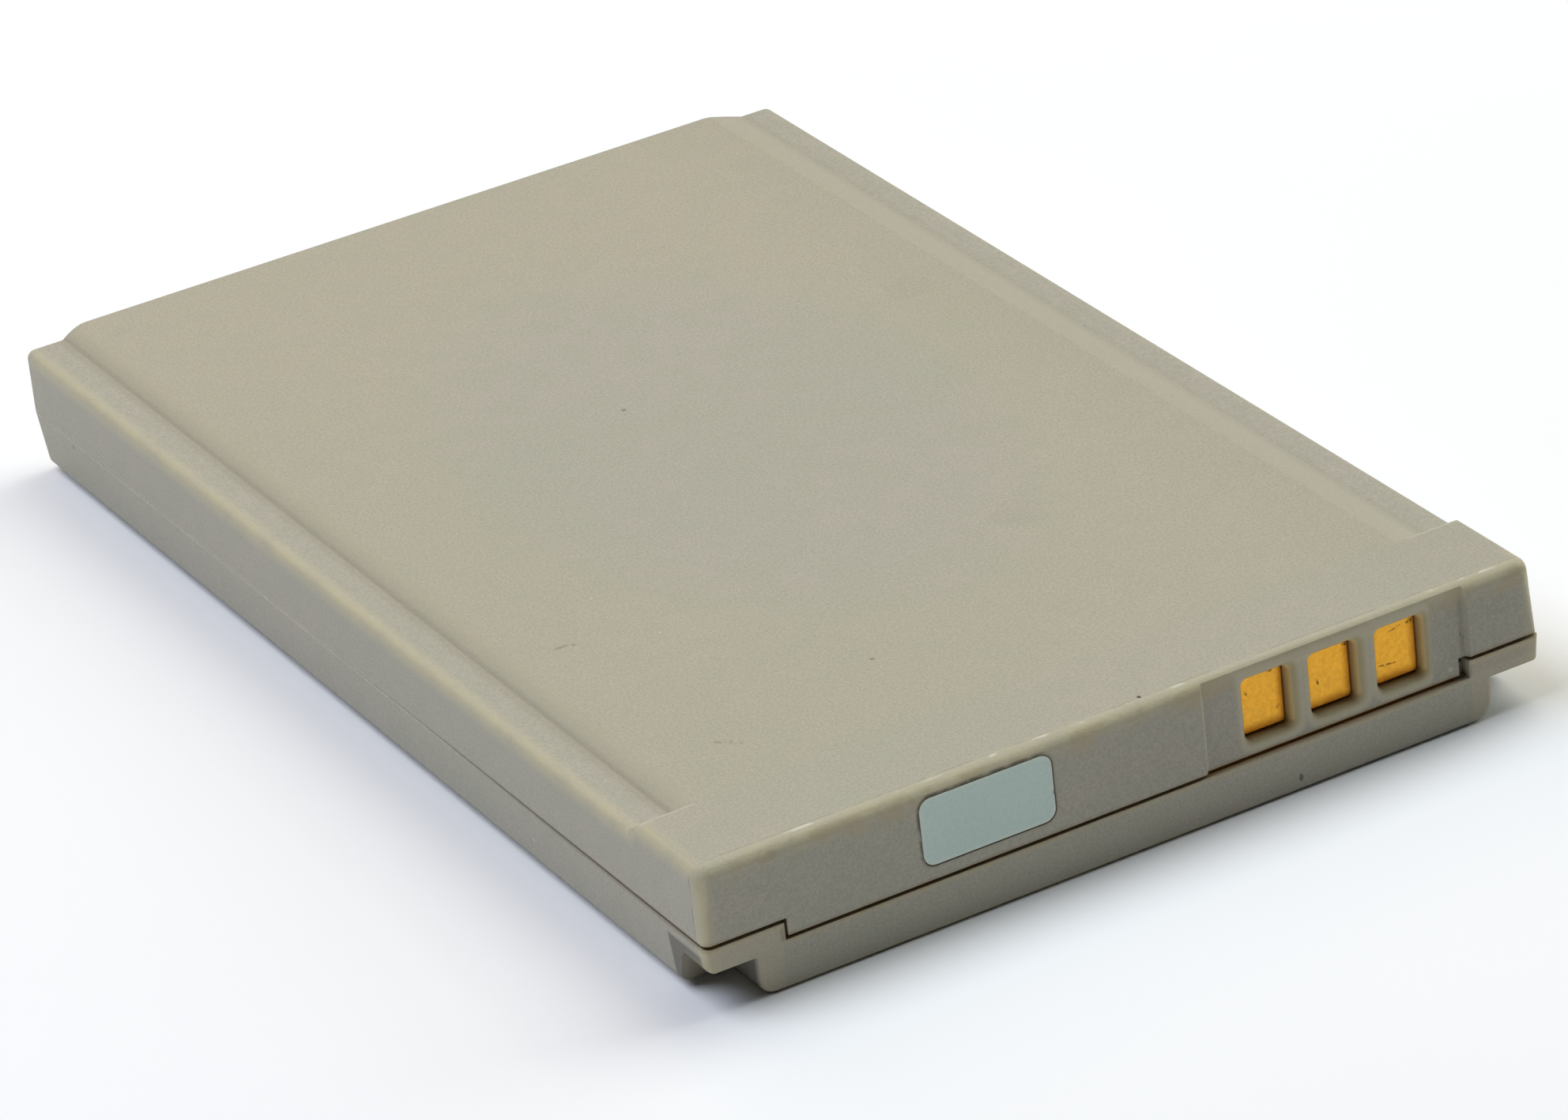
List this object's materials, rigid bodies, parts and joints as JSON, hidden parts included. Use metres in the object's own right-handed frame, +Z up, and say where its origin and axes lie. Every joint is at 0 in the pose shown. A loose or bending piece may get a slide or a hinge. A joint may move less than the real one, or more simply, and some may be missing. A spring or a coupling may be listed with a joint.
{
  "type": "mobile phone battery",
  "caption": "Flat rectangular phone battery: a lithium-ion cell and its protection board in a grey-beige case of two covers, with gold contacts in windows at one end.",
  "frame": {"origin": "middle of the underside, at the centre of the bounding box's bottom face", "axes": "+Z up, through the thickness; +Y along the length, from the contact end to the far end; +X across the width, towards the side that is nearer the contacts"},
  "size_m": [0.0368, 0.0592, 0.0061],
  "materials": {
    "case_plastic": "grey-beige moulded polycarbonate, finely spark-eroded",
    "contact_gold": "gold plate over copper",
    "label_film": "plain grey-green sticker, matt",
    "board_laminate": "green solder mask over glass laminate",
    "cell_can": "drawn aluminium can",
    "nickel": "nickel strip",
    "gasket_plastic": "natural polypropylene",
    "insulating_paper": "pressed insulating paper",
    "fuse_body": "dark polymer fuse",
    "tape_white": "double-sided tissue tape",
    "package_black": "black moulding compound",
    "chip_ceramic": "fired ceramic chip"
  },
  "bodies": {
    "root": {"top_cover": "case_plastic", "bottom_cover": "case_plastic", "contact_left": "contact_gold", "contact_middle": "contact_gold", "contact_right": "contact_gold", "front_label": "label_film", "circuit_board": "board_laminate", "cell": "cell_can", "cell_terminal": "nickel", "positive_lead": "nickel", "negative_lead": "nickel", "fuse_lead": "nickel", "terminal_gasket": "gasket_plastic", "lid_insulator": "insulating_paper", "thermal_fuse": "fuse_body", "lower_tape": "tape_white", "upper_tape": "tape_white", "protection_chip": "package_black", "switch_transistor": "package_black", "sense_resistor": "chip_ceramic", "filter_resistor": "chip_ceramic", "filter_capacitor": "chip_ceramic", "thermistor": "chip_ceramic", "identity_resistor": "chip_ceramic"}
  },
  "joints": []
}
